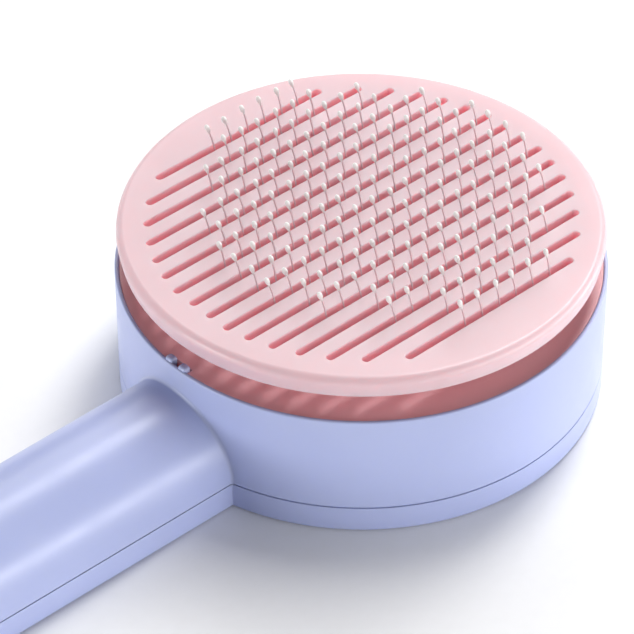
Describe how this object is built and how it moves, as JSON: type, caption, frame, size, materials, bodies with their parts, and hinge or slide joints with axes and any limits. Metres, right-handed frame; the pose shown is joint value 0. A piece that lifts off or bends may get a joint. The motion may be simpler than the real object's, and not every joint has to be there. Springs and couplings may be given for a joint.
{
  "type": "slicker brush",
  "caption": "Self-cleaning slicker brush for pets: a round head of bent steel needles, a slotted cleaning plate lifted by a back button, and a hollow handle.",
  "frame": {"origin": "under the middle of the whole brush, on the plane of its flat back", "axes": "+X along the handle towards the head, +Z from the flat back towards the needle tips, +Y completes the frame"},
  "size_m": [0.195, 0.096, 0.044],
  "materials": {
    "lavender_plastic": "satin",
    "pink_plastic": "satin",
    "needle_steel": "satin",
    "screw_steel": "satin",
    "spring_steel": "satin"
  },
  "bodies": {
    "body": {"front_housing": "lavender_plastic", "rear_cover": "lavender_plastic", "needle_bed": "pink_plastic", "needle_row_01": "needle_steel", "needle_row_02": "needle_steel", "needle_row_03": "needle_steel", "needle_row_04": "needle_steel", "needle_row_05": "needle_steel", "needle_row_06": "needle_steel", "needle_row_07": "needle_steel", "needle_row_08": "needle_steel", "needle_row_09": "needle_steel", "needle_row_10": "needle_steel", "needle_row_11": "needle_steel", "needle_row_12": "needle_steel", "needle_row_13": "needle_steel", "needle_row_14": "needle_steel", "needle_row_15": "needle_steel", "needle_row_16": "needle_steel", "needle_backing_plate": "lavender_plastic", "return_spring": "spring_steel", "backing_screw_1": "screw_steel", "backing_screw_2": "screw_steel", "backing_screw_3": "screw_steel", "backing_screw_4": "screw_steel", "cover_screw_1": "screw_steel", "cover_screw_2": "screw_steel", "cover_screw_3": "screw_steel", "cover_screw_4": "screw_steel", "handle_screw_1": "screw_steel", "handle_screw_2": "screw_steel"},
    "ejector": {"cleaning_plate": "pink_plastic", "ejector_frame": "lavender_plastic", "push_button": "pink_plastic", "button_screw": "screw_steel", "plate_screw_1": "screw_steel", "plate_screw_2": "screw_steel", "plate_screw_3": "screw_steel", "plate_screw_4": "screw_steel"}
  },
  "joints": [
    {"name": "plate_lift", "type": "slide", "parent": "body", "child": "ejector", "axis": [0, 0, 1], "range_m": [0, 0.0066], "stiffness_N_per_m": 1000, "springref_m": -0.006, "deforming": ["return_spring"]}
  ]
}
